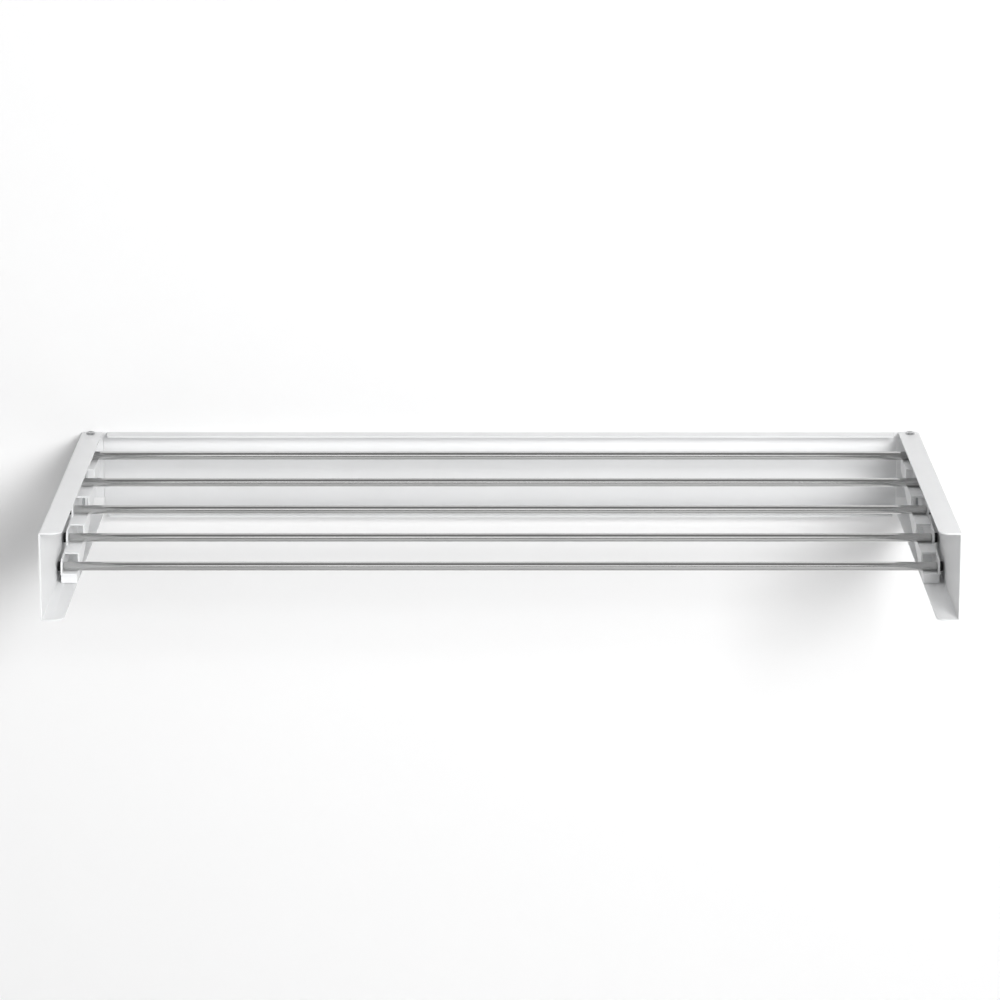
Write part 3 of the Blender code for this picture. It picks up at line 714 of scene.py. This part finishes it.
def arm_piece(side_name, side):
    """The arm: its web, a tread under each rod, the plate of its foot and its inner wall."""
    bush = CARRIER_PIN_RADIUS + GAP + BUSH_WALL + GAP
    holes = [circle(rod, STUD_RADIUS + GAP) for rod in RODS] + [circle(CARRIER_PIVOT, bush)]
    web = prism([arm_web_outline(), *holes], side * ARM_WEB_INNER, side * ARM_HIGH[0], "X")
    bite = side * (ARM_WEB_INNER + BITE)
    treads = [prism([outline], side * ARM_LOW[0], bite, "X") for outline in tread_outlines()]
    foot_top = RODS[-1][1] - TREAD_DROP - ARM_SHEET + BITE
    foot_outline = [(FOOT_FRONT, FOOT_DOWN), (FOOT_FRONT, foot_top),
                    (FOOT_FRONT + ARM_SHEET, foot_top), (FOOT_FRONT + ARM_SHEET, FOOT_DOWN)]
    foot = prism([foot_outline], side * (ARM_LOW[0] + FOOT_INSET), bite, "X")
    wall = prism([inner_wall_outline()], side * ARM_LOW[0], side * (ARM_LOW[0] + ARM_SHEET), "X")
    mesh = combine(web, [*treads, foot, wall], "UNION")
    piece(f"arm_{side_name}", mesh, "white_paint", "rod_carrier", f"rod_arm_{side_name}")


def catch_piece(side_name, side):
    """The foot catch: a block behind the foot's plate, with a tongue that reaches down into the slot."""
    low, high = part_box(f"foot_catch_{side_name}")
    block = [(low[1], FOOT_DOWN), (high[1], FOOT_DOWN), (high[1], high[2]), (low[1], high[2])]
    body = prism([block], low[0], high[0], "X")
    middle = side * (ARM_WEB_INNER - CATCH_WIDTH / 2)
    back = low[1] + TONGUE_LENGTH
    root = FOOT_DOWN + BITE
    tongue_outline = [(low[1], low[2]), (back, low[2]), (back, root), (low[1], root)]
    tongue = prism([tongue_outline], middle - TONGUE_WIDTH / 2, middle + TONGUE_WIDTH / 2, "X")
    mesh = combine(body, [tongue], "UNION")
    piece(f"catch_{side_name}", mesh, "nylon", "rod_carrier", f"foot_catch_{side_name}", CATCH_EDGE)


def rod_piece(index):
    """The bar, chamfered at both ends, with the stud that goes through the arm."""
    y, z = RODS[index - 1]
    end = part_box(f"rod_{index}")[1][0]
    shoulder = ARM_WEB_INNER - GAP
    inset = ROD_ROUND * ROD_CHAMFER
    half = [
        (0, end),
        (STUD_RADIUS, end),
        (STUD_RADIUS, shoulder),
        (ROD_RADIUS - ROD_CHAMFER, shoulder),
        (ROD_RADIUS - inset, shoulder - inset),
        (ROD_RADIUS, shoulder - ROD_CHAMFER),
    ]
    profile = half + [(radius, -station) for radius, station in reversed(half)]
    mesh = turned(profile, at=(0, y, z), steps=ROD_SIDES)
    piece(f"round_bar_{index}", mesh, "steel", "rod_carrier", f"rod_{index}", 0)


def cap_piece(side_name, side, index):
    """The black cap nut, its rim rounded and its outer face slightly dished."""
    y, z = RODS[index - 1]
    node = f"rod_cap_{side_name}_{index}"
    low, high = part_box(node)
    inner, outer = sorted((abs(low[0]), abs(high[0])))
    radius = radius_of(node)
    bore = STUD_RADIUS + GAP
    profile = [(0, outer - CAP_DISH), (radius - CAP_DISH_EDGE * CAP_RIM, outer)]
    for angle in range(0, 91, 15):
        across = radius - CAP_RIM + CAP_RIM * math.sin(math.radians(angle))
        station = outer - CAP_RIM + CAP_RIM * math.cos(math.radians(angle))
        profile.append((across, station))
    profile += [(radius, inner + CAP_CHAMFER), (radius - CAP_CHAMFER, inner), (bore, inner),
                (bore, outer - CAP_FACE), (0, outer - CAP_FACE)]
    mesh = turned(profile, side=side, at=(0, y, z))
    piece(f"cap_{side_name}_{index}", mesh, "black_plastic", "rod_carrier", node, 0)


def small_hardware():
    """Pins, clips and bushes keep their CAD shape and get their finishes."""
    kept = {"carrier_pin": "zinc", "carrier_pin_clip": "zinc", "cheek_pin": "zinc",
            "cheek_bush": "nylon", "arm_bush": "nylon"}
    for name, finish in kept.items():
        for side_name, _ in SIDES:
            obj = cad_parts[f"{name}_{side_name}"]
            for slot in obj.material_slots:
                slot.material = FINISHES[finish]


# ---------------------------------------------------------------- stage, lights and camera

WALL_WHITE = 0.88
WALL_GLOW = 0.06
WALL_TOUCH = 0.003  # rays shorter than this come from faces that lie on the wall
WALL_GAP = 0.0004
WALL_HALF_WIDTH = 0.62
WALL_HIGH = 0.52
WALL_LOW = -0.95
FLOOR_PALE = 0.68
FLOOR_OUT = 7.0
WORLD_LIGHT = 0.07
WORLD_SEEN = 0.26
WORLD_BEHIND = 0.80
WORLD_FADE = (-0.05, 0.25)  # the world turns paler over this range of its direction's Y
LIGHT_AIM = (0, -0.2, 0)
CAMERA_ACROSS = -0.0003
CAMERA_OUT = 4.0202
CAMERA_ABOVE = 0.9037
CAMERA_PITCH = 13.5755
CAMERA_LENS = 155.25
CAMERA_SENSOR = 36
CAMERA_REACH = 50


def light_path_any(tree, *outputs):
    """One value that is 1 on any of these kinds of ray."""
    paths = tree.nodes.new("ShaderNodeLightPath")
    total = paths.outputs[outputs[0]]
    for name in outputs[1:]:
        made = tree.nodes.new("ShaderNodeMath")
        made.operation = "MAXIMUM"
        tree.links.new(total, made.inputs[0])
        tree.links.new(paths.outputs[name], made.inputs[1])
        total = made.outputs[0]
    return total


def stage_material(name, tone, glow):
    """A matt surface that takes the object's shadow, with a glow that lights nothing but is seen.

    It is clear from behind, and for rays that start on it, so that it darkens no face that lies on it.
    """
    made = bpy.data.materials.new(name)
    made.use_nodes = True
    tree = made.node_tree
    tree.nodes.clear()
    out = tree.nodes.new("ShaderNodeOutputMaterial")
    diffuse = tree.nodes.new("ShaderNodeBsdfDiffuse")
    diffuse.inputs["Color"].default_value = (tone, tone, tone, 1)
    light = tree.nodes.new("ShaderNodeEmission")
    power = tree.nodes.new("ShaderNodeMath")
    power.operation = "MULTIPLY"
    power.inputs[1].default_value = glow
    seen = light_path_any(tree, "Is Camera Ray", "Is Glossy Ray", "Is Transmission Ray")
    tree.links.new(seen, power.inputs[0])
    tree.links.new(power.outputs[0], light.inputs["Strength"])
    both = tree.nodes.new("ShaderNodeAddShader")
    tree.links.new(diffuse.outputs[0], both.inputs[0])
    tree.links.new(light.outputs[0], both.inputs[1])
    clear = tree.nodes.new("ShaderNodeBsdfTransparent")
    far = tree.nodes.new("ShaderNodeMath")
    far.operation = "GREATER_THAN"
    far.inputs[1].default_value = WALL_TOUCH
    tree.links.new(tree.nodes.new("ShaderNodeLightPath").outputs["Ray Length"], far.inputs[0])
    by_distance = tree.nodes.new("ShaderNodeMixShader")
    tree.links.new(far.outputs[0], by_distance.inputs[0])
    tree.links.new(clear.outputs[0], by_distance.inputs[1])
    tree.links.new(both.outputs[0], by_distance.inputs[2])
    by_side = tree.nodes.new("ShaderNodeMixShader")
    geometry = tree.nodes.new("ShaderNodeNewGeometry")
    tree.links.new(geometry.outputs["Backfacing"], by_side.inputs[0])
    tree.links.new(by_distance.outputs[0], by_side.inputs[1])
    tree.links.new(clear.outputs[0], by_side.inputs[2])
    tree.links.new(by_side.outputs[0], out.inputs["Surface"])
    return made


def stage_plane(name, corners, finish):
    """A flat part of the studio, which is no piece of the object."""
    mesh = bpy.data.meshes.new(name)
    mesh.from_pydata(corners, [], [(0, 1, 2, 3)])
    mesh.materials.append(finish)
    obj = bpy.data.objects.new(name, mesh)
    bpy.context.scene.collection.objects.link(obj)


def area_light(name, at, size, power, mirrored):
    """A soft rectangular light aimed at the rack; only a mirrored one shows in glossy surfaces."""
    data = bpy.data.lights.new(name, "AREA")
    data.shape = "RECTANGLE"
    data.size, data.size_y = size
    data.energy = power
    obj = bpy.data.objects.new(name, data)
    obj.location = at
    obj.rotation_euler = (Vector(LIGHT_AIM) - Vector(at)).to_track_quat("-Z", "Y").to_euler()
    obj.visible_camera = False
    obj.visible_glossy = mirrored
    bpy.context.scene.collection.objects.link(obj)


def stage():
    """A white wall behind the rack and a pale floor well under it."""
    wall = stage_material("wall_white", WALL_WHITE, WALL_GLOW)
    floor = stage_material("floor_pale", FLOOR_PALE, 0.0)
    wide, deep = WALL_HALF_WIDTH, FLOOR_OUT
    stage_plane("studio_wall", [(-wide, WALL_GAP, WALL_LOW), (wide, WALL_GAP, WALL_LOW),
                                (wide, WALL_GAP, WALL_HIGH), (-wide, WALL_GAP, WALL_HIGH)], wall)
    stage_plane("studio_floor", [(-deep, -deep, WALL_LOW), (deep, -deep, WALL_LOW),
                                 (deep, deep, WALL_LOW), (-deep, deep, WALL_LOW)], floor)


def studio_world():
    """A grey studio in front and above, pale behind the wall. It shows paler than the light it gives."""
    world = bpy.data.worlds.new("studio")
    bpy.context.scene.world = world
    world.use_nodes = True
    tree = world.node_tree
    coords = tree.nodes.new("ShaderNodeTexCoord")
    parts = tree.nodes.new("ShaderNodeSeparateXYZ")
    tree.links.new(coords.outputs["Generated"], parts.inputs[0])
    seen = light_path_any(tree, "Is Camera Ray", "Is Glossy Ray", "Is Transmission Ray")
    front = tree.nodes.new("ShaderNodeMapRange")
    front.inputs["To Min"].default_value = WORLD_LIGHT
    front.inputs["To Max"].default_value = WORLD_SEEN
    tree.links.new(seen, front.inputs["Value"])
    level = tree.nodes.new("ShaderNodeMapRange")
    level.interpolation_type = "SMOOTHSTEP"
    level.inputs["From Min"].default_value = WORLD_FADE[0]
    level.inputs["From Max"].default_value = WORLD_FADE[1]
    level.inputs["To Max"].default_value = WORLD_BEHIND
    tree.links.new(front.outputs["Result"], level.inputs["To Min"])
    tree.links.new(parts.outputs["Y"], level.inputs["Value"])
    tree.links.new(level.outputs["Result"], tree.nodes["Background"].inputs["Strength"])
    tree.nodes["Background"].inputs["Color"].default_value = (1, 1, 1, 1)


def lights():
    """A key light from the front right, a wide strip for the bars' bright band, and a soft one overhead."""
    area_light("key", at=(1.35, -4.0, 1.4), size=(1.4, 1.4), power=140, mirrored=False)
    area_light("strip", at=(0, -3.0, 1.1), size=(3.4, 1.35), power=18, mirrored=True)
    area_light("overhead", at=(0, -0.5, 3.0), size=(3.0, 1.0), power=15, mirrored=False)
    studio_world()


def camera():
    """The photograph's view: before the middle, a little above the rack and far off, with a long lens."""
    data = bpy.data.cameras.new("camera")
    data.lens = CAMERA_LENS
    data.sensor_width = CAMERA_SENSOR
    data.clip_end = CAMERA_REACH
    obj = bpy.data.objects.new("camera", data)
    obj.location = (CAMERA_ACROSS, -CAMERA_OUT, TOP + CAMERA_ABOVE)
    obj.rotation_euler = (math.radians(90 - CAMERA_PITCH), 0, 0)
    bpy.context.scene.collection.objects.link(obj)
    bpy.context.scene.camera = obj
    bpy.context.scene.view_settings.view_transform = "Standard"


# ---------------------------------------------------------------- the rack

rail_piece()
for side_name, side in SIDES:
    bracket_piece(side_name, side)
    cheek_piece(side_name, side)
    block_piece(side_name, side)
    screw_piece(side_name, side)
    arm_piece(side_name, side)
    catch_piece(side_name, side)
    for index in range(1, ROD_COUNT + 1):
        cap_piece(side_name, side, index)
for index in range(1, ROD_COUNT + 1):
    rod_piece(index)
small_hardware()
stage()
lights()
camera()
